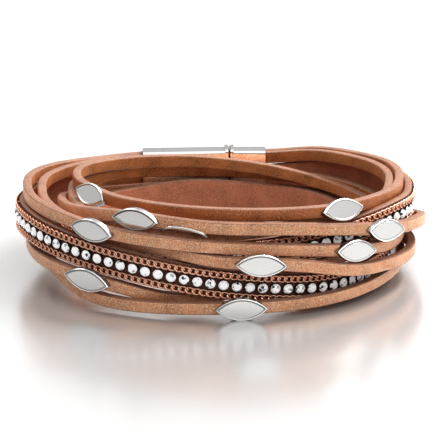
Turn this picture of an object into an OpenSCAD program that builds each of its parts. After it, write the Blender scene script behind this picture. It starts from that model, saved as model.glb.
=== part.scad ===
// Leather wrap bracelet: four narrow straps and one wide studded strap, each
// wound twice round the wrist and held at both ends by a magnetic clasp.
// It lies on a flat surface with the wrist opening upwards.

/* [Oval] */
// Half the length of the oval that the straps follow, left to right
oval_a = 33.5; // [30:0.5:38]
// Half the depth of the same oval, front to back
oval_b = 27; // [24:0.5:32]

/* [Narrow straps] */
// Height of a narrow strap, edge to edge
narrow_w = 2.2; // [2:0.1:2.4]
// Thickness of a narrow strap
narrow_t = 1.6; // [1:0.1:1.7]
// Bevel on the long edges of every strap
edge_cut = 0.25; // [0.1:0.05:0.4]

/* [Wide strap] */
// Height of the wide strap, edge to edge
wide_w = 5.4; // [5:0.1:5.6]
// Thickness of the wide strap
wide_t = 1.4; // [1:0.1:1.5]
// Distance of each chain from the middle of the wide strap
chain_up = 1.8; // [1.7:0.05:1.9]
// Width of a chain
chain_w = 1.3; // [1:0.1:1.4]
// How far a chain stands off the leather
chain_t = 0.8; // [0.5:0.1:0.9]
// Diameter of a rhinestone
stone_d = 1.9; // [1.6:0.1:2]
// Distance from one rhinestone to the next
stone_pitch = 2.26; // [2.2:0.02:3]
// How far a rhinestone stands off the leather
stone_t = 0.9; // [0.6:0.1:1]

/* [Studs] */
// Length of a leaf stud, tip to tip
stud_l = 8.5; // [7:0.1:9]
// Height of a leaf stud at its middle
stud_w = 4; // [3.8:0.1:4.4]
// How far a stud stands off the outer face of its strap
stud_t = 1; // [0.8:0.1:1.2]
// Bevel round the rim of a stud
rim = 0.4; // [0.2:0.1:0.5]

/* [Clasp] */
// Height of the clasp
clasp_h = 13.6; // [13:0.1:14]
// Thickness of the clasp
clasp_t = 5; // [4.8:0.1:5.4]
// Left end of the clasp
clasp_left = -14.6; // [-16:0.1:-14]
// Joint between the two magnetic halves
clasp_joint = 2; // [-2:0.5:4]
// Right end of the clasp
clasp_right = 9.2; // [8:0.1:10]
// How far the long half turns towards the strap ends
clasp_bend = 3.5; // [2.5:0.5:4]
// Wall of the clasp round its mouths
clasp_wall = 0.4; // [0.4:0.1:0.5]
// Rounding of the clasp's long edges
clasp_round = 0.9; // [0.5:0.1:1.2]
// Length and height of the lip on each half at the joint
lip_l = 0.6; // [0.4:0.1:0.8]
lip_up = 0.4; // [0.2:0.1:0.5]

/* [Hidden] */

// Clearance between a stud and its strap
fit = 0.16;

// Columns of a strap's table
TURN = 0;   // degrees round the wrist from the back, clockwise seen from above
OUT = 1;    // distance of the strap's middle outside the oval
UP = 2;     // height of the strap's middle

// Each strap leaves the clasp's right end, goes round twice and comes back to its left end
STRAP_1 = [
    [10, 5.2, 11.8], [17, 5.4, 11.8], [24, 4.9, 13.1], [30, 4.2, 13.9], [49, 2, 14.8],
    [61, 1.9, 15.1], [70, 1.5, 15.2], [80, 0.5, 15.2], [90, -0.5, 15.2], [115, -0.7, 16],
    [130, -0.4, 16.4], [145, 0.6, 16.8], [180, -0.6, 17.4], [208, -4.2, 17], [234, -8.3, 16],
    [251, -9.4, 15.6], [277, -7.5, 15.2], [300, -4.3, 14.6], [330, -2.6, 13.5], [350, -2.4, 12.8],
    [380, -2.4, 11.1], [403, -2, 9.4], [422, -1.6, 8], [450, -1.8, 7.8], [470, -1.7, 8.1],
    [485, -0.9, 8.4], [494, -0.6, 8.1], [503, -0.8, 7.1], [515, -0.5, 6.2], [525, 0.2, 5],
    [535, 0.6, 3.6], [546, 1.1, 2.3], [556, 2.4, 2.3], [563, 3.4, 4], [570, 4.5, 4.9],
    [578, 4.9, 5.6], [588, 4.5, 6], [600, 3.4, 6.1], [612, 2, 6.6], [630, 0.5, 6.7], [645, 0.6, 5.9],
    [655, 0.5, 5.8], [668, 1.5, 6.6], [680, 3, 7.7], [690, 4, 8], [699, 4.3, 8]];
STRAP_2 = [
    [10, 3.5, 11.8], [17, 3.8, 11.8], [24, 3.1, 13], [30, 2.4, 13.8], [49, 0.2, 14.6],
    [61, 0.1, 14.7], [70, -0.3, 14.6], [80, -1.3, 14.5], [90, -2.3, 14.5], [115, -2.4, 14.4],
    [132, -2.4, 14.8], [143, -1.8, 15.2], [152, -1.1, 14.7], [165, 0.2, 14.4], [180, 0.5, 13.8],
    [190, 0.4, 13.7], [215, -1.4, 13.3], [228, -3.2, 13.3], [240, -5.1, 13.5], [255, -6.7, 13.4],
    [270, -6.9, 13.1], [280, -6.4, 12.9], [300, -3.6, 12], [330, -0.9, 11], [350, -0.4, 10.2],
    [380, -0.4, 9.8], [405, 0.2, 9.4], [430, 0.3, 8.2], [450, 0.1, 8], [460, 0.2, 8.1],
    [468, 0.8, 8.3], [480, 2.4, 8.6], [489, 2.9, 8.9], [500, 3.2, 9.9], [507, 3.5, 10.5],
    [517, 3.4, 11.4], [530, 3.5, 12.2], [545, 3.8, 12.9], [557, 3.8, 13.4], [575, 3, 13.9],
    [590, 2.2, 14.5], [630, 1.3, 14.9], [660, 3.2, 13.6], [680, 4.8, 12.2], [690, 5.8, 11.7],
    [699, 6.1, 11.6]];
STRAP_3 = [
    [10, 5.2, 7.4], [16, 5.7, 7], [23, 5.8, 5.8], [30, 5, 5], [50, 3.8, 5.6], [70, 3.4, 6.4],
    [80, 3.5, 7.4], [90, 3.9, 8.8], [100, 3.8, 10.1], [115, 3.8, 11.2], [125, 3.6, 12],
    [140, 2.7, 13.6], [160, 2.5, 15.2], [180, 2.5, 15.7], [205, 0.6, 16.5], [220, -0.4, 15.6],
    [238, -2.8, 14], [252, -4.4, 13], [265, -4.9, 12.2], [275, -4.7, 11.3], [285, -3.8, 10.6],
    [300, -2.2, 9], [330, -0.5, 7.2], [360, -0.1, 6.7], [385, -0.1, 6.7], [405, 0.6, 6.3],
    [422, 1, 5.9], [437, 0.5, 5.7], [450, 0.7, 5.7], [462, 2.8, 5.5], [475, 3.6, 5.3],
    [490, 3.8, 5.9], [502, 4.7, 6.4], [512, 5, 8.4], [525, 4.9, 9.8], [540, 4.7, 10.2],
    [547, 2.9, 10.8], [553, 1.4, 11], [560, 1.2, 11.4], [575, 0.4, 12.2], [590, -0.2, 13],
    [630, -1.4, 14.1], [660, 0.8, 13.2], [680, 3, 12.3], [690, 4, 11.8], [699, 4.3, 11.6]];
STRAP_4 = [
    [10, 3.7, 3], [20, 4, 2.6], [26, 1.7, 1.5], [32, -2.8, 1.3], [38, -5.3, 1.3], [45, -5.4, 1.3],
    [70, -4.8, 1.3], [90, -4.6, 1.3], [115, -4, 1.4], [145, -2.5, 2.4], [160, -2, 3.5],
    [168, -1.7, 4.2], [175, -1.3, 4.8], [182, -0.6, 5.3], [195, 0.5, 6], [207, 0.2, 6.9],
    [225, -0.4, 8], [240, -1.3, 8.4], [255, -2.3, 8.5], [270, -3.3, 8.4], [300, -2.2, 6.2],
    [330, -0.6, 4.2], [360, -0.1, 3.9], [385, -0.2, 3.9], [400, -0.3, 3.9], [420, -0.2, 3.7],
    [450, 0.1, 3.3], [460, 0.3, 2.9], [470, 0.7, 2.5], [485, 1.7, 2.3], [497, 3.2, 2.2],
    [513, 4.4, 2], [527, 4.7, 2], [540, 4.8, 2], [555, 4.9, 1.8], [565, 4.9, 1.7], [574, 4.5, 1.8],
    [582, 3.8, 2.7], [590, 2.6, 4], [600, 1.2, 4.9], [612, -0.6, 6], [630, -1.6, 7.2],
    [645, -1.3, 5.6], [660, -1.1, 4.2], [680, 2.8, 4.1], [690, 4, 4], [699, 4.3, 4]];
WIDE = [
    [10, 3.6, 7.4], [16, 3.8, 7.6], [30, 3.6, 9.6], [50, 3.4, 10.7], [60, 3.5, 11.2], [70, 3.3, 11.7],
    [80, 2.3, 11.8], [90, 1.2, 11.8], [115, 1.2, 13], [125, 1, 12.7], [135, 0.3, 12],
    [143, -0.5, 11.1], [165, -1.4, 9.9], [180, -1.9, 9.4], [195, -2.3, 9.2], [215, -2.6, 8.8],
    [240, -4, 7.8], [270, -6, 7], [300, -5.2, 6.4], [330, -3.6, 6], [350, -2.9, 6.5],
    [380, -2.8, 5.6], [390, -2.9, 5.7], [398, -3, 5.5], [408, -3, 4.4], [425, -3, 3.3],
    [450, -2.4, 3.6], [470, -2, 3.6], [485, -1, 3.5], [497, 0, 3.3], [510, 1.4, 3.5], [525, 2.1, 4.6],
    [540, 2.6, 5.8], [560, 3.2, 7.9], [576, 3, 9.2], [590, 3, 10.1], [610, 2.5, 10.8],
    [630, 2.2, 10.4], [645, 1.6, 10], [655, 2, 9.6], [668, 3.4, 8.8], [680, 4.8, 8], [690, 5.8, 7.3],
    [699, 6.1, 7.2]];

// Steps from one end of a strap to the other
RINGS = 79;

// A column of a strap's table at any turn, eased where two rows meet
function eased(route, turn, column) =
    let (pairs = [for (row = route) [row[TURN], row[column]]])
    (lookup(turn - 9, pairs) + 2 * lookup(turn - 4, pairs) + 2 * lookup(turn, pairs)
        + 2 * lookup(turn + 4, pairs) + lookup(turn + 9, pairs)) / 8;

function first_turn(route) = route[0][TURN];
function last_turn(route) = route[len(route) - 1][TURN];
function unit(v) = v / norm(v);

// Middle of a strap, and its direction, at a turn
function middle(route, turn) =
    let (out = eased(route, turn, OUT))
    [(oval_a + out) * sin(turn), (oval_b + out) * cos(turn), eased(route, turn, UP)];
function heading(route, turn) = unit(middle(route, turn + 0.5) - middle(route, turn - 0.5));

// A point at a turn, moved outwards from the wrist and up along the strap's height
function beside(route, turn, out, up) =
    let (ahead = heading(route, turn), away = unit([-ahead.y, ahead.x, 0]))
    middle(route, turn) + out * away + up * cross(ahead, away);

// Outlines across a strap and across a chain, as pairs of outwards and up
function strap_outline(t, w) = [
    [t / 2, w / 2 - edge_cut], [t / 2 - edge_cut, w / 2],
    [edge_cut - t / 2, w / 2], [-t / 2, w / 2 - edge_cut],
    [-t / 2, edge_cut - w / 2], [edge_cut - t / 2, -w / 2],
    [t / 2 - edge_cut, -w / 2], [t / 2, edge_cut - w / 2]];
CHAIN_GAP = 0.1;
function chain_outline(side) = [
    for (a = [22.5:45:337.5]) [
        wide_t / 2 + CHAIN_GAP + chain_t * (1 + cos(a)) / 2,
        side * chain_up + chain_w / 2 * sin(a)]];

// An outline carried along a strap from one turn to another
module swept(route, outline, from, to) {
    sides = len(outline);
    points = [for (i = [0:RINGS]) for (c = outline)
        beside(route, from + (to - from) * i / RINGS, c[0], c[1])];
    skin = [for (i = [0:RINGS - 1]) for (j = [0:sides - 1])
        let (a = i * sides + j, b = i * sides + (j + 1) % sides)
            each [[a, b + sides, b], [a, a + sides, b + sides]]];
    first_cap = [for (j = [0:sides - 1]) j];
    last_cap = [for (j = [sides - 1:-1:0]) RINGS * sides + j];
    caps = [first_cap, last_cap];
    polyhedron(points, concat(skin, caps), convexity = 10);
}

module narrow_strap(route) {
    color("peru")
        swept(route, strap_outline(narrow_t, narrow_w), first_turn(route), last_turn(route));
}

module wide_strap() {
    color("rosybrown")
        swept(WIDE, strap_outline(wide_t, wide_w), first_turn(WIDE), last_turn(WIDE));
}

// Chains and stones stop where the wide strap enters the clasp
TRIM_FROM = 28;
TRIM_TO = 688;
module chain(side) {
    color("sandybrown") swept(WIDE, chain_outline(side), TRIM_FROM, TRIM_TO);
}

// Length along the wide strap against turn, in steps of two degrees
LENGTHS = [for (turn = TRIM_FROM, s = 0; turn <= TRIM_TO;
    s = s + norm(middle(WIDE, turn + 2) - middle(WIDE, turn)), turn = turn + 2) [s, turn]];
STONES = floor((LENGTHS[len(LENGTHS) - 1][0] - stone_d) / stone_pitch);

// Rhinestones: a flat table inside a ring of eight crown facets, each with its own level
STONE_LEVELS = [[0.1, 0.5], [1, 0.3]]; // part of the height, part of the diameter
module rhinestones() {
    rings = len(STONE_LEVELS);
    points = [for (k = [0:STONES]) let (turn = lookup(stone_d / 2 + k * stone_pitch, LENGTHS))
        for (level = STONE_LEVELS) for (a = [0:45:315])
            let (ahead = heading(WIDE, turn), away = unit([-ahead.y, ahead.x, 0]))
            let (r = level[1] * stone_d)
            middle(WIDE, turn) + (wide_t / 2 + level[0] * stone_t) * away
                + r * cos(a) * ahead + r * sin(a) * cross(away, ahead)];
    faces = [for (k = [0:STONES]) let (base = k * rings * 8) each concat(
        [for (l = [0:rings - 2]) for (j = [0:7])
            let (a = base + l * 8 + j, b = base + l * 8 + (j + 1) % 8)
                each [[b + 8, b, a], [a + 8, b + 8, a]]],
        [[for (j = [0:7]) base + j], [for (j = [7:-1:0]) base + (rings - 1) * 8 + j]])];
    color("white") polyhedron(points, faces, convexity = 10);
}

// Clasp: two hollow halves of one rounded tube; the straps' ends are glued in their mouths
CLASP_OUT = 1.2; // its inner face beyond the oval
CLASP_Y = oval_b + CLASP_OUT + clasp_t / 2;
JOINT_GAP = 0.4; // between the two halves
MOUTH_DEPTH = 4;
PAST = 0.01; // a cut goes this far past the face it opens
module clasp_section(grow) {
    w = clasp_t + 2 * grow;
    h = clasp_h + grow;
    translate([-w / 2, 0]) union() {
        translate([clasp_round, 0]) square([w - 2 * clasp_round, h]);
        translate([0, clasp_round]) square([w, h - 2 * clasp_round]);
        for (x = [clasp_round, w - clasp_round], y = [clasp_round, h - clasp_round])
            translate([x, y]) circle(clasp_round, $fn = 32);
    }
}

module clasp_bar(from, to, grow) {
    translate([from, 0, 0]) rotate([90, 0, 90]) linear_extrude(to - from) clasp_section(grow);
}

module clasp_half(from, to, lip_from, mouth_from) {
    translate([0, CLASP_Y, 0]) difference() {
        union() {
            clasp_bar(from, to, 0);
            clasp_bar(lip_from, lip_from + lip_l, lip_up);
        }
        translate([mouth_from, -clasp_t / 2 + clasp_wall, clasp_wall])
            cube([MOUTH_DEPTH, clasp_t - 2 * clasp_wall, clasp_h - 2 * clasp_wall]);
    }
}

module clasp_long_half() {
    inner_edge = [clasp_joint, CLASP_Y - clasp_t / 2, 0];
    color("silver") translate(inner_edge) rotate(clasp_bend) translate(-inner_edge)
        clasp_half(clasp_left, clasp_joint, clasp_joint - lip_l, clasp_left - PAST);
}

module clasp_short_half() {
    from = clasp_joint + JOINT_GAP;
    color("silver") clasp_half(from, clasp_right, from, clasp_right - MOUTH_DEPTH + PAST);
}

// Leaf stud: a pointed oval cap with a bevelled rim, folded over both edges of its strap.
// Its outline is the overlap of two round discs.
STUD_R = (stud_l * stud_l + stud_w * stud_w) / (4 * stud_w);
module leaf_disc(side) {
    rise = narrow_t / 2 + stud_t;
    translate([0, side * (STUD_R - stud_w / 2), 0]) {
        cylinder(r = STUD_R, h = rise - rim, $fn = 64);
        translate([0, 0, rise - rim]) cylinder(r1 = STUD_R, r2 = STUD_R - rim, h = rim, $fn = 64);
    }
}

module stud(strap, turn) {
    ahead = heading(strap, turn);
    color("gainsboro") translate(middle(strap, turn))
        rotate([0, -asin(ahead.z), atan2(ahead.y, ahead.x)]) rotate([-90, 0, 0]) difference() {
            intersection() {
                leaf_disc(1);
                leaf_disc(-1);
            }
            translate([-stud_l, -narrow_w / 2 - fit, -narrow_t])
                cube([2 * stud_l, narrow_w + 2 * fit, 1.5 * narrow_t + fit]);
        }
}

// Places of the studs, in degrees along their straps
module stud_1() { stud(STRAP_1, 240); }
module stud_2() { stud(STRAP_3, 204); }
module stud_3() { stud(STRAP_2, 576); }
module stud_4() { stud(STRAP_1, 576); }
module stud_5() { stud(STRAP_4, 534); }
module stud_6() { stud(STRAP_3, 529); }
module stud_7() { stud(STRAP_2, 500); }
module stud_8() { stud(STRAP_3, 128); }
module stud_9() { stud(STRAP_1, 141); }
module stud_10() { stud(STRAP_4, 211); }

narrow_strap(STRAP_1);  // narrow_strap_1
narrow_strap(STRAP_2);  // narrow_strap_2
narrow_strap(STRAP_3);  // narrow_strap_3
narrow_strap(STRAP_4);  // narrow_strap_4
wide_strap();
chain(1);  // chain_upper
chain(-1);  // chain_lower
rhinestones();
clasp_long_half();
clasp_short_half();
stud_1();
stud_2();
stud_3();
stud_4();
stud_5();
stud_6();
stud_7();
stud_8();
stud_9();
stud_10();
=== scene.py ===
import bpy
import math
from mathutils import Matrix, Vector


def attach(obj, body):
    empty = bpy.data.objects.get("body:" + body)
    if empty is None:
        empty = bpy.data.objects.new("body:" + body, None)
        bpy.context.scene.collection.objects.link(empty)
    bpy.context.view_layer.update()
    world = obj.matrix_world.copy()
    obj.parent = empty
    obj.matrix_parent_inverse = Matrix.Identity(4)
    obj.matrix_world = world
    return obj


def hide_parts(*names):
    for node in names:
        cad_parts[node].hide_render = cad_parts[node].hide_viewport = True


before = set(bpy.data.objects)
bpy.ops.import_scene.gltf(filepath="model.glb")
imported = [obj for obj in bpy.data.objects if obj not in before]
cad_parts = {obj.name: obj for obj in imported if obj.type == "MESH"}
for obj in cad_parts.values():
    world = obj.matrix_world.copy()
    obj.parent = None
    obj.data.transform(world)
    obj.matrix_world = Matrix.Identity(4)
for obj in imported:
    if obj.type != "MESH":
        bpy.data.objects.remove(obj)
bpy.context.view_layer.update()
bpy.ops.object.select_all(action="DESELECT")

# Camera: a long lens 48 cm away, 17 degrees above the surface, which looks along +Y at the decorated front
# of the lying bracelet. The picture has no film curve, and its middle tones are somewhat deeper.
scene = bpy.context.scene
scene.view_settings.view_transform = "Standard"
scene.view_settings.gamma = 0.8
mm = 0.001
elevation = math.radians(17)
sight = Vector((0, math.cos(elevation), -math.sin(elevation)))
aim = Vector((0.37 * mm, 0, 8.2 * mm))
distance = 480 * mm
bpy.ops.object.camera_add(location=aim - distance * sight)
camera = bpy.context.object
camera.rotation_euler = sight.to_track_quat("-Z", "Y").to_euler()
camera.data.lens = 212.9
camera.data.sensor_width = 36
camera.data.clip_start = 10 * mm
scene.camera = camera

# Surface: a glossy white table top that the bracelet lies on. It mirrors the lower straps softly, and ends
# far outside the picture.
table_mat = bpy.data.materials.new("table_top")
table_mat.use_nodes = True
shader = table_mat.node_tree.nodes["Principled BSDF"]
shader.inputs["Base Color"].default_value = (0.75, 0.75, 0.75, 1)
shader.inputs["Roughness"].default_value = 0.22
shader.inputs["IOR"].default_value = 2
shader.inputs["Metallic"].default_value = 0.5
bpy.ops.mesh.primitive_plane_add(size=6, location=(0, 0, 0))
table = bpy.context.object
table.name = "table_top"
table.data.materials.append(table_mat)

# Light: a studio that is white overhead, and behind the bracelet above a grey skirting. It is dark low down
# in front, where the camera stands, and brighter to the right. Two soft panels hang high up at the back.
world = bpy.data.worlds.new("studio")
world.use_nodes = True
scene.world = world
studio = world.node_tree
coords = studio.nodes.new("ShaderNodeTexCoord")
direction = studio.nodes.new("ShaderNodeSeparateXYZ")
studio.links.new(coords.outputs["Generated"], direction.inputs[0])


def studio_ramp(axis, low, high, dim, bright):
    level = studio.nodes.new("ShaderNodeMapRange")
    level.interpolation_type = "SMOOTHSTEP"
    for label, value in (("From Min", low), ("From Max", high), ("To Min", dim), ("To Max", bright)):
        level.inputs[label].default_value = value
    studio.links.new(direction.outputs[axis], level.inputs["Value"])
    return level.outputs["Result"]


def studio_math(operation, first, second):
    step = studio.nodes.new("ShaderNodeMath")
    step.operation = operation
    studio.links.new(first, step.inputs[0])
    studio.links.new(second, step.inputs[1])
    return step.outputs[0]


ceiling = studio_ramp("Z", 0.15, 0.5, 0.03, 1.2)
skirting = studio_ramp("Z", 0.08, 0.16, 0.4, 1.25)
rear = studio_ramp("Y", 0, 0.4, 0, 1)
rightwards = studio_ramp("X", -0.7, 0.7, 0.5, 1.3)
brightness = studio_math("MAXIMUM", ceiling, studio_math("MULTIPLY", skirting, rear))
brightness = studio_math("MULTIPLY", brightness, rightwards)
background = studio.nodes["Background"]
background.inputs["Color"].default_value = (1, 1, 1, 1)
studio.links.new(brightness, background.inputs["Strength"])

panel_size = 300 * mm
panel_aside = 300 * mm
panel_behind = 300 * mm
panel_up = 500 * mm
for side, power in ((-1, 1.3), (1, 3.9)):
    bpy.ops.object.light_add(type="AREA", location=(side * panel_aside, panel_behind, panel_up))
    panel = bpy.context.object
    panel.data.size = panel_size
    panel.data.energy = power
    panel.rotation_euler = (-panel.location).to_track_quat("-Z", "Y").to_euler()

# Narrow straps: four vegetable-tanned leather cords cut square, coppery outside, raw flesh inside, with pale
# cut edges. Each is a short length of bar, repeated along its route twice round from one clasp half to the
# other. The topmost run of strap 1 has a deeper brown outside, which is painted shade: that run leans out,
# and its face lies in its own shade.
strap_thick = 1.6 * mm
strap_wide = 2.2 * mm
strap_rounding = 0.3 * mm
# Height above which strap 1's outer face takes the painted shade.
painted_shade_above = 12.8 * mm
bar_step = 0.8 * mm

# Routes: turn in degrees from the back, clockwise seen from above, then how far outside the oval and how
# high the middle of the strap lies, in millimetres. The oval is given by its two half widths.
TURN, OUT, UP = 0, 1, 2
FIRST_TURN, LAST_TURN = 10, 699
oval_across = 33.5
oval_along = 27
ROUTES = {
    "narrow_strap_1": [
        (10, 5.2, 11.8), (17, 5.4, 11.8), (24, 4.9, 13.1), (30, 4.2, 13.9), (49, 2, 14.8),
        (61, 1.9, 15.1), (70, 1.5, 15.2), (80, 0.5, 15.2), (90, -0.5, 15.2), (115, -0.7, 16),
        (130, -0.4, 16.4), (145, 0.6, 16.8), (180, -0.6, 17.4), (208, -4.2, 17), (234, -8.3, 16),
        (251, -9.4, 15.6), (277, -7.5, 15.2), (300, -4.3, 14.6), (330, -2.6, 13.5), (350, -2.4, 12.8),
        (380, -2.4, 11.1), (403, -2, 9.4), (422, -1.6, 8), (450, -1.8, 7.8), (470, -1.7, 8.1),
        (485, -0.9, 8.4), (494, -0.6, 8.1), (503, -0.8, 7.1), (515, -0.5, 6.2), (525, 0.2, 5),
        (535, 0.6, 3.6), (546, 1.1, 2.3), (556, 2.4, 2.3), (563, 3.4, 4), (570, 4.5, 4.9),
        (578, 4.9, 5.6), (588, 4.5, 6), (600, 3.4, 6.1), (612, 2, 6.6), (630, 0.5, 6.7), (645, 0.6, 5.9),
        (655, 0.5, 5.8), (668, 1.5, 6.6), (680, 3, 7.7), (690, 4, 8), (699, 4.3, 8)],
    "narrow_strap_2": [
        (10, 3.5, 11.8), (17, 3.8, 11.8), (24, 3.1, 13), (30, 2.4, 13.8), (49, 0.2, 14.6),
        (61, 0.1, 14.7), (70, -0.3, 14.6), (80, -1.3, 14.5), (90, -2.3, 14.5), (115, -2.4, 14.4),
        (132, -2.4, 14.8), (143, -1.8, 15.2), (152, -1.1, 14.7), (165, 0.2, 14.4), (180, 0.5, 13.8),
        (190, 0.4, 13.7), (215, -1.4, 13.3), (228, -3.2, 13.3), (240, -5.1, 13.5), (255, -6.7, 13.4),
        (270, -6.9, 13.1), (280, -6.4, 12.9), (300, -3.6, 12), (330, -0.9, 11), (350, -0.4, 10.2),
        (380, -0.4, 9.8), (405, 0.2, 9.4), (430, 0.3, 8.2), (450, 0.1, 8), (460, 0.2, 8.1),
        (468, 0.8, 8.3), (480, 2.4, 8.6), (489, 2.9, 8.9), (500, 3.2, 9.9), (507, 3.5, 10.5),
        (517, 3.4, 11.4), (530, 3.5, 12.2), (545, 3.8, 12.9), (557, 3.8, 13.4), (575, 3, 13.9),
        (590, 2.2, 14.5), (630, 1.3, 14.9), (660, 3.2, 13.6), (680, 4.8, 12.2), (690, 5.8, 11.7),
        (699, 6.1, 11.6)],
    "narrow_strap_3": [
        (10, 5.2, 7.4), (16, 5.7, 7), (23, 5.8, 5.8), (30, 5, 5), (50, 3.8, 5.6), (70, 3.4, 6.4),
        (80, 3.5, 7.4), (90, 3.9, 8.8), (100, 3.8, 10.1), (115, 3.8, 11.2), (125, 3.6, 12),
        (140, 2.7, 13.6), (160, 2.5, 15.2), (180, 2.5, 15.7), (205, 0.6, 16.5), (220, -0.4, 15.6),
        (238, -2.8, 14), (252, -4.4, 13), (265, -4.9, 12.2), (275, -4.7, 11.3), (285, -3.8, 10.6),
        (300, -2.2, 9), (330, -0.5, 7.2), (360, -0.1, 6.7), (385, -0.1, 6.7), (405, 0.6, 6.3),
        (422, 1, 5.9), (437, 0.5, 5.7), (450, 0.7, 5.7), (462, 2.8, 5.5), (475, 3.6, 5.3),
        (490, 3.8, 5.9), (502, 4.7, 6.4), (512, 5, 8.4), (525, 4.9, 9.8), (540, 4.7, 10.2),
        (547, 2.9, 10.8), (553, 1.4, 11), (560, 1.2, 11.4), (575, 0.4, 12.2), (590, -0.2, 13),
        (630, -1.4, 14.1), (660, 0.8, 13.2), (680, 3, 12.3), (690, 4, 11.8), (699, 4.3, 11.6)],
    "narrow_strap_4": [
        (10, 3.7, 3), (20, 4, 2.6), (26, 1.7, 1.5), (32, -2.8, 1.3), (38, -5.3, 1.3), (45, -5.4, 1.3),
        (70, -4.8, 1.3), (90, -4.6, 1.3), (115, -4, 1.4), (145, -2.5, 2.4), (160, -2, 3.5),
        (168, -1.7, 4.2), (175, -1.3, 4.8), (182, -0.6, 5.3), (195, 0.5, 6), (207, 0.2, 6.9),
        (225, -0.4, 8), (240, -1.3, 8.4), (255, -2.3, 8.5), (270, -3.3, 8.4), (300, -2.2, 6.2),
        (330, -0.6, 4.2), (360, -0.1, 3.9), (385, -0.2, 3.9), (400, -0.3, 3.9), (420, -0.2, 3.7),
        (450, 0.1, 3.3), (460, 0.3, 2.9), (470, 0.7, 2.5), (485, 1.7, 2.3), (497, 3.2, 2.2),
        (513, 4.4, 2), (527, 4.7, 2), (540, 4.8, 2), (555, 4.9, 1.8), (565, 4.9, 1.7), (574, 4.5, 1.8),
        (582, 3.8, 2.7), (590, 2.6, 4), (600, 1.2, 4.9), (612, -0.6, 6), (630, -1.6, 7.2),
        (645, -1.3, 5.6), (660, -1.1, 4.2), (680, 2.8, 4.1), (690, 4, 4), (699, 4.3, 4)]
}


def route_value(name, turn, which):
    rows = ROUTES[name]
    if turn <= rows[0][TURN]:
        return rows[0][which]
    for low, high in zip(rows, rows[1:]):
        if turn <= high[TURN]:
            return low[which] + (high[which] - low[which]) * (turn - low[TURN]) / (high[TURN] - low[TURN])
    return rows[-1][which]


# The corners of a route are eased: each place takes shares of the places a few degrees before and after.
def strap_middle(name, turn):
    shares = ((-9, 0.125), (-4, 0.25), (0, 0.25), (4, 0.25), (9, 0.125))
    out = sum(share * route_value(name, turn + step, OUT) for step, share in shares)
    up = sum(share * route_value(name, turn + step, UP) for step, share in shares)
    angle = math.radians(turn)
    return Vector(((oval_across + out) * math.sin(angle), (oval_along + out) * math.cos(angle), up)) * mm


def strap_route(name):
    line = bpy.data.curves.new(name + "_route", "CURVE")
    line.dimensions = "3D"
    line.twist_mode = "Z_UP"
    spline = line.splines.new("POLY")
    turns = range(FIRST_TURN, LAST_TURN + 1)
    spline.points.add(len(turns) - 1)
    for point, turn in zip(spline.points, turns):
        point.co = (*strap_middle(name, turn), 1)
    route = bpy.data.objects.new(name + "_route", line)
    bpy.context.collection.objects.link(route)
    return route


# Grain: cloudy patches, fine pebbles and single bright specks, the same for leather and suede.
grain = bpy.data.node_groups.new("leather_grain", "ShaderNodeTree")
for label in ("Clouds", "Pebbles", "Specks"):
    grain.interface.new_socket(label, in_out="OUTPUT", socket_type="NodeSocketFloat")
marks = grain.nodes.new("NodeGroupOutput")
coords = grain.nodes.new("ShaderNodeTexCoord")
for label, scale, detail, low in (("Clouds", 260, 4, 0.3), ("Pebbles", 3500, 3, 0.3),
                                  ("Specks", 5200, 2, 0.42)):
    noise = grain.nodes.new("ShaderNodeTexNoise")
    noise.inputs["Scale"].default_value = scale
    noise.inputs["Detail"].default_value = detail
    grain.links.new(coords.outputs["Object"], noise.inputs["Vector"])
    stretch = grain.nodes.new("ShaderNodeMapRange")
    stretch.inputs["From Min"].default_value = low
    stretch.inputs["From Max"].default_value = 0.7
    grain.links.new(noise.outputs["Fac"], stretch.inputs["Value"])
    grain.links.new(stretch.outputs["Result"], marks.inputs[label])


# A hide has two tones in clouds, with paler specks over them, and the pebbles in relief.
def hide(name, dark, light_tone, speck, rough, relief):
    mat = bpy.data.materials.new(name)
    mat.use_nodes = True
    nodes, links = mat.node_tree.nodes, mat.node_tree.links
    shader = nodes["Principled BSDF"]
    shader.inputs["Roughness"].default_value = rough
    group = nodes.new("ShaderNodeGroup")
    group.node_tree = grain
    tone = nodes.new("ShaderNodeMix")
    tone.data_type = "RGBA"
    tone.inputs[6].default_value = (*dark, 1)
    tone.inputs[7].default_value = (*light_tone, 1)
    links.new(group.outputs["Clouds"], tone.inputs["Factor"])
    weaker = nodes.new("ShaderNodeMath")
    weaker.operation = "MULTIPLY"
    weaker.inputs[1].default_value = 0.9
    links.new(group.outputs["Specks"], weaker.inputs[0])
    fine = nodes.new("ShaderNodeMix")
    fine.data_type = "RGBA"
    fine.inputs[7].default_value = (*speck, 1)
    links.new(weaker.outputs[0], fine.inputs["Factor"])
    links.new(tone.outputs[2], fine.inputs[6])
    links.new(fine.outputs[2], shader.inputs["Base Color"])
    bump = nodes.new("ShaderNodeBump")
    bump.inputs["Strength"].default_value = relief
    bump.inputs["Distance"].default_value = 0.1 * mm
    links.new(group.outputs["Pebbles"], bump.inputs["Height"])
    links.new(bump.outputs["Normal"], shader.inputs["Normal"])
    return mat


leather_face = hide("leather_face", (0.62, 0.235, 0.1), (0.9, 0.39, 0.195), (1, 0.85, 0.62), 0.36, 0.6)
# Painted shade: a deeper brown outer hide for the topmost run of strap 1, whose face lies in its own shade.
leather_painted_shade = hide("leather_painted_shade", (0.36, 0.105, 0.03), (0.56, 0.19, 0.065), (0.72, 0.38, 0.18), 0.42, 0.5)
leather_edge = hide("leather_edge", (0.23, 0.105, 0.06), (0.34, 0.165, 0.1), (0.58, 0.34, 0.235), 0.5, 0.4)
leather_back = hide("leather_back", (0.24, 0.078, 0.018), (0.56, 0.22, 0.07), (0.6, 0.3, 0.14), 0.85, 0.6)


def select_none(kind):
    bpy.ops.object.mode_set(mode="EDIT")
    bpy.ops.mesh.select_mode(type=kind)
    bpy.ops.mesh.select_all(action="DESELECT")
    bpy.ops.object.mode_set(mode="OBJECT")


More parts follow.
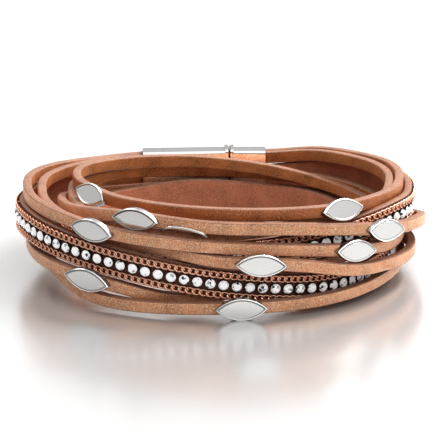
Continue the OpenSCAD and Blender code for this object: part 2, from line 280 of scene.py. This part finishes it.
# One length of bar has rounded long edges and open ends, so that the lengths join. Its hides are given in
# the order outer face, cut edges, inner face.
def strap_bar(name, route, thick, wide, rounding, hides):
    bpy.ops.mesh.primitive_cube_add(size=1, location=(0, 0, 0), scale=(bar_step, thick, wide))
    strap = bpy.context.object
    strap.name = name
    bpy.ops.object.transform_apply(location=True, rotation=True, scale=True)
    select_none("EDGE")
    for edge in strap.data.edges:
        start, end = (strap.data.vertices[i].co for i in edge.vertices)
        edge.select = abs(start.x - end.x) > bar_step / 2
    bpy.ops.object.mode_set(mode="EDIT")
    bpy.ops.mesh.bevel(offset=rounding, segments=3)
    select_none("FACE")
    for face in strap.data.polygons:
        face.select = abs(face.normal.x) > 0.9
        cut_edge = abs(face.normal.z) > 0.6
        face.material_index = 1 if cut_edge else 0 if face.normal.y > 0 else 2
    bpy.ops.object.mode_set(mode="EDIT")
    bpy.ops.mesh.delete(type="ONLY_FACE")
    bpy.ops.object.mode_set(mode="OBJECT")
    for skin in hides:
        strap.data.materials.append(skin)
    row = strap.modifiers.new("length", "ARRAY")
    row.fit_type = "FIT_CURVE"
    row.curve = route
    row.use_merge_vertices = True
    row.merge_threshold = 0.02 * mm
    bend = strap.modifiers.new("route", "CURVE")
    bend.object = route
    for label in ("length", "route"):
        bpy.ops.object.modifier_apply(modifier=label)
    return strap


for number in range(1, 5):
    name = "narrow_strap_%d" % number
    hides = (leather_face, leather_edge, leather_back, leather_painted_shade)
    strap = strap_bar(name + "_leather", strap_route(name), strap_thick, strap_wide, strap_rounding, hides)
    # Painted shade: above the given height, strap 1's outer face takes the deeper brown hide.
    for face in strap.data.polygons:
        if number == 1 and face.material_index == 0 and face.center.z > painted_shade_above:
            face.material_index = 3
    bpy.ops.object.shade_smooth_by_angle(angle=math.radians(50))
    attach(strap, "root")
    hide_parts(name)

# Wide strap: a flat band of suede, raw on both faces, which carries the chains and the stones. It is made
# along its route like the narrow straps.
ROUTES["wide_strap"] = [
    (10, 3.6, 7.4), (16, 3.8, 7.6), (30, 3.6, 9.6), (50, 3.4, 10.7), (60, 3.5, 11.2), (70, 3.3, 11.7),
    (80, 2.3, 11.8), (90, 1.2, 11.8), (115, 1.2, 13), (125, 1, 12.7), (135, 0.3, 12), (143, -0.5, 11.1),
    (165, -1.4, 9.9), (180, -1.9, 9.4), (195, -2.3, 9.2), (215, -2.6, 8.8), (240, -4, 7.8), (270, -6, 7),
    (300, -5.2, 6.4), (330, -3.6, 6), (350, -2.9, 6.5), (380, -2.8, 5.6), (390, -2.9, 5.7),
    (398, -3, 5.5), (408, -3, 4.4), (425, -3, 3.3), (450, -2.4, 3.6), (470, -2, 3.6), (485, -1, 3.5),
    (497, 0, 3.3), (510, 1.4, 3.5), (525, 2.1, 4.6), (540, 2.6, 5.8), (560, 3.2, 7.9), (576, 3, 9.2),
    (590, 3, 10.1), (610, 2.5, 10.8), (630, 2.2, 10.4), (645, 1.6, 10), (655, 2, 9.6), (668, 3.4, 8.8),
    (680, 4.8, 8), (690, 5.8, 7.3), (699, 6.1, 7.2)]
suede_thick = 1.4 * mm
suede_wide = 5.4 * mm
suede_rounding = 0.25 * mm
suede = hide("suede", (0.12, 0.045, 0.033), (0.2, 0.08, 0.06), (0.36, 0.17, 0.13), 0.95, 0.5)
suede_back = hide("suede_back", (0.38, 0.145, 0.08), (0.6, 0.24, 0.135), (0.66, 0.34, 0.22), 0.95, 0.5)
wide_route = strap_route("wide_strap")
hides = (suede, leather_edge, suede_back)
band = strap_bar("wide_strap_suede", wide_route, suede_thick, suede_wide, suede_rounding, hides)
bpy.ops.object.shade_smooth_by_angle(angle=math.radians(50))
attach(band, "root")
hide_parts("wide_strap")

# Chains: two copper-plated curb chains of flattened wire links, each link twisted so that the row lies flat.
# One is sewn along each side of the wide strap's outer face, and stops short of the clasp at both ends.
wire_radius = 0.16 * mm
link_radius = 0.52 * mm
link_stretch = 1.55
link_flatness = 0.8
link_twist = math.radians(80)
link_pitch = 1.19 * mm
chain_out = 1.2 * mm
chain_up = 1.8 * mm
trim_first_turn = 28
trim_last_turn = 688


# A plating is a metal with slight smears in its gloss.
def plating(name, tone, rough, metallic):
    mat = bpy.data.materials.new(name)
    mat.use_nodes = True
    nodes, links = mat.node_tree.nodes, mat.node_tree.links
    shader = nodes["Principled BSDF"]
    shader.inputs["Base Color"].default_value = (*tone, 1)
    shader.inputs["Metallic"].default_value = metallic
    noise = nodes.new("ShaderNodeTexNoise")
    noise.inputs["Scale"].default_value = 900
    coords = nodes.new("ShaderNodeTexCoord")
    links.new(coords.outputs["Object"], noise.inputs["Vector"])
    smear = nodes.new("ShaderNodeMapRange")
    smear.inputs["To Min"].default_value = rough * 0.7
    smear.inputs["To Max"].default_value = rough * 1.3
    links.new(noise.outputs["Fac"], smear.inputs["Value"])
    links.new(smear.outputs["Result"], shader.inputs["Roughness"])
    return mat


def wide_strap_length(turn):
    places = [strap_middle("wide_strap", t) for t in range(FIRST_TURN, turn + 1)]
    return sum((b - a).length for a, b in zip(places, places[1:]))


def repeat_along_wide_strap(piece, count, pitch):
    row = piece.modifiers.new("length", "ARRAY")
    row.count = count
    row.use_relative_offset = False
    row.use_constant_offset = True
    row.constant_offset_displace = (pitch, 0, 0)
    bend = piece.modifiers.new("route", "CURVE")
    bend.object = wide_route
    for label in ("length", "route"):
        bpy.ops.object.modifier_apply(modifier=label)


trim_from = wide_strap_length(trim_first_turn)
trim_to = wide_strap_length(trim_last_turn)
copper_plate = plating("copper_plate", (0.95, 0.58, 0.42), 0.25, 1)
for name, side in (("chain_upper", 1), ("chain_lower", -1)):
    bpy.ops.mesh.primitive_torus_add(major_segments=16, minor_segments=6, major_radius=link_radius,
                                     minor_radius=wire_radius)
    chain = bpy.context.object
    chain.name = name + "_links"
    bpy.ops.transform.resize(value=(link_stretch, 1, 1))
    bpy.ops.object.transform_apply(location=True, rotation=True, scale=True)
    twist = chain.modifiers.new("twist", "SIMPLE_DEFORM")
    twist.deform_method = "TWIST"
    twist.deform_axis = "X"
    twist.angle = link_twist
    bpy.ops.object.modifier_apply(modifier="twist")
    bpy.ops.object.mode_set(mode="EDIT")
    bpy.ops.mesh.select_all(action="SELECT")
    bpy.ops.transform.rotate(value=math.radians(90), orient_axis="X", center_override=(0, 0, 0))
    bpy.ops.transform.resize(value=(1, link_flatness, 1), center_override=(0, 0, 0))
    bpy.ops.transform.translate(value=(trim_from, chain_out, side * chain_up))
    bpy.ops.object.mode_set(mode="OBJECT")
    chain.data.materials.append(copper_plate)
    repeat_along_wide_strap(chain, int((trim_to - trim_from) / link_pitch), link_pitch)
    bpy.ops.object.shade_smooth()
    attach(chain, "root")
    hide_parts(name)

# Rhinestones: cut glass on foil, with a table and two rows of crown facets, each in a blackened cup glued to
# the suede. The facets carry painted reflections: a random pattern paints most of them white, some grey and
# a few nearly black, and a faint glow in the same tones is painted light.
stone_radius = 0.94 * mm
stone_table = 0.6 * mm
stone_height = 0.4 * mm
stone_out = 1.4 * mm
facet_cut = 0.18 * mm
cup_radius = 1.03 * mm
cup_height = 0.5 * mm
cup_out = 0.97 * mm
cup_wall = 0.12 * mm
stone_pitch = 2.26 * mm
row_margin = 0.95 * mm

stone_painted_glints = bpy.data.materials.new("stone_painted_glints")
stone_painted_glints.use_nodes = True
nodes, links = stone_painted_glints.node_tree.nodes, stone_painted_glints.node_tree.links
shader = nodes["Principled BSDF"]
shader.inputs["Roughness"].default_value = 0.08
shader.inputs["Specular IOR Level"].default_value = 1
# Painted light: the stones glow faintly in their painted facet tones.
shader.inputs["Emission Strength"].default_value = 0.25
coords = nodes.new("ShaderNodeTexCoord")
# Painted reflections: random cells give each facet a white, grey or nearly black flash.
painted_flash_cells = nodes.new("ShaderNodeTexVoronoi")
painted_flash_cells.inputs["Scale"].default_value = 2300
links.new(coords.outputs["Object"], painted_flash_cells.inputs["Vector"])
grey = nodes.new("ShaderNodeSeparateColor")
links.new(painted_flash_cells.outputs["Color"], grey.inputs["Color"])
painted_glint_tones = nodes.new("ShaderNodeValToRGB")
painted_glint_tones.color_ramp.interpolation = "CONSTANT"
painted_glint_tones.color_ramp.elements[0].color = (0.03, 0.035, 0.035, 1)
painted_glint_tones.color_ramp.elements[1].position = 0.06
painted_glint_tones.color_ramp.elements[1].color = (0.4, 0.42, 0.43, 1)
painted_glint_tones.color_ramp.elements.new(0.16).color = (1, 1, 1, 1)
links.new(grey.outputs["Red"], painted_glint_tones.inputs["Fac"])
links.new(painted_glint_tones.outputs["Color"], shader.inputs["Base Color"])
links.new(painted_glint_tones.outputs["Color"], shader.inputs["Emission Color"])
cup_metal = plating("cup_metal", (0.1, 0.05, 0.035), 0.4, 0.8)

bpy.ops.mesh.primitive_cone_add(vertices=8, radius1=stone_radius, radius2=stone_table, depth=stone_height,
                                location=(0, 0, stone_out))
stones = bpy.context.object
stones.name = "rhinestones_cut"
bpy.ops.object.transform_apply(location=True, rotation=True, scale=True)
for vert in stones.data.vertices:
    vert.select = vert.co.z > stone_out
bpy.ops.object.mode_set(mode="EDIT")
bpy.ops.mesh.select_mode(type="VERT")
bpy.ops.mesh.bevel(offset=facet_cut, affect="VERTICES", segments=1)
bpy.ops.object.mode_set(mode="OBJECT")
stones.data.materials.append(stone_painted_glints)
bpy.ops.mesh.primitive_cylinder_add(vertices=16, radius=cup_radius, depth=cup_height,
                                    end_fill_type="NOTHING", location=(0, 0, cup_out))
cup = bpy.context.object
bpy.ops.object.transform_apply(location=True, rotation=True, scale=True)
wall = cup.modifiers.new("wall", "SOLIDIFY")
wall.thickness = cup_wall
bpy.ops.object.modifier_apply(modifier="wall")
cup.data.materials.append(cup_metal)
stones.select_set(True)
bpy.context.view_layer.objects.active = stones
bpy.ops.object.join()
bpy.ops.object.mode_set(mode="EDIT")
bpy.ops.mesh.select_all(action="SELECT")
bpy.ops.transform.rotate(value=math.radians(90), orient_axis="X", center_override=(0, 0, 0))
bpy.ops.transform.translate(value=(trim_from + row_margin, 0, 0))
bpy.ops.object.mode_set(mode="OBJECT")
repeat_along_wide_strap(stones, int((trim_to - trim_from - 2 * row_margin) / stone_pitch) + 1, stone_pitch)
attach(stones, "root")
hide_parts("rhinestones")

# Studs: ten leaf-shaped caps of polished white metal with a rounded rim and a sunk face, set on their
# straps. The groove and the side walls are a darker grey, which is painted shade in the groove and a painted
# dark reflection of the leather on the walls. A cap is drawn as a flat leaf and then put on its strap at its
# turn, where lean and yaw tip it, in degrees. The first leans most and stands further out.
stud_plate = plating("stud_plate", (0.97, 0.96, 0.94), 0.13, 1)
# The darker grey plate serves as the clasp's brushed upper faces, and as painted shade in the studs' grooves
# and on their side walls.
brushed_plate_and_painted_shade = plating("brushed_plate_and_painted_shade", (0.42, 0.42, 0.42), 0.3, 1)
leaf_end = 4.15 * mm
leaf_top = 1.75 * mm
leaf_belly = 2.1 * mm
tip_x = 0.4 * mm
tip_y = 0.45 * mm
cap_half_depth = 0.4 * mm
rim_round = 0.3 * mm
groove_wide = 0.18 * mm
groove_deep = 0.12 * mm
cap_out = 0.9 * mm
first_cap_out = 1.4 * mm
for number, strap_number, turn, lean, yaw in (
        (1, 1, 240, 30, -12), (2, 3, 204, 0, 0), (3, 2, 576, 0, 0), (4, 1, 576, 0, 0), (5, 4, 534, 0, 0),
        (6, 3, 529, 0, 0), (7, 2, 500, 0, 0), (8, 3, 128, 0, 0), (9, 1, 141, 23, 0), (10, 4, 211, 0, 0)):
    leaf = bpy.data.curves.new("stud_%d_cap" % number, "CURVE")
    leaf.dimensions = "2D"
    leaf.fill_mode = "BOTH"
    leaf.extrude = cap_half_depth
    leaf.bevel_depth = rim_round
    leaf.bevel_resolution = 4
    spline = leaf.splines.new("BEZIER")
    spline.bezier_points.add(3)
    spline.use_cyclic_u = True
    spline.resolution_u = 12
    corners = (((-leaf_end, 0), (tip_x, -tip_y), (tip_x, tip_y)),
               ((0, leaf_top), (-leaf_belly, 0), (leaf_belly, 0)),
               ((leaf_end, 0), (-tip_x, tip_y), (-tip_x, -tip_y)),
               ((0, -leaf_top), (leaf_belly, 0), (-leaf_belly, 0)))
    for point, (spot, before, after) in zip(spline.bezier_points, corners):
        point.handle_left_type = point.handle_right_type = "FREE"
        point.co = (*spot, 0)
        point.handle_left = (spot[0] + before[0], spot[1] + before[1], 0)
        point.handle_right = (spot[0] + after[0], spot[1] + after[1], 0)
    stud = bpy.data.objects.new("stud_%d_cap" % number, leaf)
    bpy.context.collection.objects.link(stud)
    bpy.ops.object.select_all(action="DESELECT")
    stud.select_set(True)
    bpy.context.view_layer.objects.active = stud
    bpy.ops.object.convert(target="MESH")
    stud = bpy.context.object
    select_none("FACE")
    for face in stud.data.polygons:
        face.select = face.normal.z > 0.99
    bpy.ops.object.mode_set(mode="EDIT")
    bpy.ops.mesh.inset(thickness=groove_wide, depth=-groove_deep)
    bpy.ops.object.mode_set(mode="OBJECT")
    stud.data.materials.append(stud_plate)
    stud.data.materials.append(brushed_plate_and_painted_shade)
    # Painted shade and reflection: the groove and the side walls take the darker grey plate.
    for face in stud.data.polygons:
        in_groove = face.normal.x * face.center.x + face.normal.y * face.center.y < -0.02 * mm
        face.material_index = int(in_groove or abs(face.normal.z) < 0.3)
    name = "narrow_strap_%d" % strap_number
    ahead = (strap_middle(name, turn + 0.5) - strap_middle(name, turn - 0.5)).normalized()
    away = Vector((-ahead.y, ahead.x, 0)).normalized()
    place = Matrix((ahead, away.cross(ahead), away)).transposed().to_4x4()
    place = place @ Matrix.Rotation(math.radians(lean), 4, "X") @ Matrix.Rotation(math.radians(yaw), 4, "Y")
    place.translation = strap_middle(name, turn) + (first_cap_out if number == 1 else cap_out) * away
    stud.data.transform(place)
    bpy.ops.object.shade_smooth_by_angle(angle=math.radians(25))
    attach(stud, "root")
    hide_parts("stud_%d" % number)

# Rim of an eleventh stud, on the first turn of strap 2, of the same metal: only its upper rim shows between
# two straps. It is a thin round bar, bent through points given in millimetres.
rim_points = ((-9.9, -27.6, 14.6), (-9, -28.45, 15.35), (-7.95, -28.85, 15.65), (-6.55, -29.2, 15.65),
              (-5.15, -29.5, 15.5), (-3.78, -29.85, 15.2), (-2.74, -30, 14.9), (-1.9, -29.7, 14.2))
bpy.ops.curve.primitive_bezier_curve_add(location=(0, 0, 0))
rim = bpy.context.object
rim.name = "stud_11_rim"
rim.data.splines.clear()
spline = rim.data.splines.new("BEZIER")
spline.bezier_points.add(len(rim_points) - 1)
for point, spot in zip(spline.bezier_points, rim_points):
    point.co = Vector(spot) * mm
    point.handle_left_type = point.handle_right_type = "AUTO"
rim.data.dimensions = "3D"
rim.data.resolution_u = 4
rim.data.bevel_depth = 0.28 * mm
rim.data.use_fill_caps = True
bpy.ops.object.convert(target="MESH")
rim = bpy.context.object
rim.data.materials.append(stud_plate)
bpy.ops.object.shade_smooth()
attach(rim, "root")

# Clasp: two silver-plated halves of a flattened tube with grey brushed upper faces. Each has a raised lip
# and the dark face of its magnet at the joint, and a mouth at its far end for the glued ends of the straps.
# The long half stands a few degrees open. Places along the clasp are given in millimetres.
silver_plate = plating("silver_plate", (0.95, 0.94, 0.93), 0.1, 1)
clasp_y = 30.7 * mm
tube_thick = 5 * mm
tube_tall = 13.6 * mm
tube_round = 2.2 * mm
lip_thick = 5.8 * mm
lip_tall = 14 * mm
lip_round = 2.4 * mm
magnet_thick = 5.3 * mm
magnet_tall = 13.8 * mm
inner_round = 0.7 * mm
mouth_wall = 0.4 * mm
mouth_deep = 4 * mm
open_angle = math.radians(3.5)
open_about = (2 * mm, 28.2 * mm, 0)


# A block of the clasp is rounded more along the long edges of its outer side than along its inner ones.
def clasp_block(low, high, thick, tall, outer_round, plate, upper_plate):
    bpy.ops.mesh.primitive_cube_add(size=1, location=((low + high) / 2 * mm, clasp_y, tall / 2),
                                    scale=((high - low) * mm, thick, tall))
    block = bpy.context.object
    bpy.ops.object.transform_apply(location=True, rotation=True, scale=True)
    for outer, rounding in ((True, outer_round), (False, inner_round)):
        select_none("EDGE")
        for edge in block.data.edges:
            a, b = (block.data.vertices[i].co for i in edge.vertices)
            at_side = (a.y > clasp_y) == outer and abs(abs(a.y - clasp_y) - thick / 2) < 0.01 * mm
            edge.select = at_side and abs(a.x - b.x) > 0.1 * mm
        bpy.ops.object.mode_set(mode="EDIT")
        bpy.ops.mesh.bevel(offset=rounding, segments=6)
        bpy.ops.object.mode_set(mode="OBJECT")
    block.data.materials.append(plate)
    block.data.materials.append(upper_plate)
    return block


def hollow_mouth(block, mouth):
    select_none("FACE")
    for face in block.data.polygons:
        face.select = abs(face.center.x - mouth * mm) < 0.01 * mm
    bpy.ops.object.mode_set(mode="EDIT")
    bpy.ops.mesh.inset(thickness=mouth_wall)
    inward = mouth_deep if mouth < 0 else -mouth_deep
    bpy.ops.mesh.extrude_region_move(TRANSFORM_OT_translate={"value": (inward, 0, 0)})
    bpy.ops.object.mode_set(mode="OBJECT")


for name, tube, lip, magnet, mouth in (("clasp_long_half", (-14.6, 2), (1.4, 2), (1.9, 2.18), -14.6),
                                       ("clasp_short_half", (2.4, 9.2), (2.4, 3), (2.2, 2.5), 9.2)):
    half = clasp_block(*tube, tube_thick, tube_tall, tube_round, silver_plate, brushed_plate_and_painted_shade)
    hollow_mouth(half, mouth)
    lip_block = clasp_block(*lip, lip_thick, lip_tall, lip_round, silver_plate, brushed_plate_and_painted_shade)
    magnet_block = clasp_block(*magnet, magnet_thick, magnet_tall, tube_round, cup_metal, cup_metal)
    for block in (half, lip_block, magnet_block):
        for face in block.data.polygons:
            face.material_index = int(face.normal.z > 0.9)
        block.select_set(True)
    bpy.context.view_layer.objects.active = half
    bpy.ops.object.join()
    half.name = name + "_plated"
    if name == "clasp_long_half":
        bpy.ops.object.mode_set(mode="EDIT")
        bpy.ops.mesh.select_all(action="SELECT")
        bpy.ops.transform.rotate(value=-open_angle, orient_axis="Z", center_override=open_about)
        bpy.ops.object.mode_set(mode="OBJECT")
    bpy.ops.object.shade_smooth_by_angle(angle=math.radians(35))
    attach(half, "root")
    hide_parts(name)

for name in ROUTES:
    bpy.data.objects.remove(bpy.data.objects[name + "_route"])
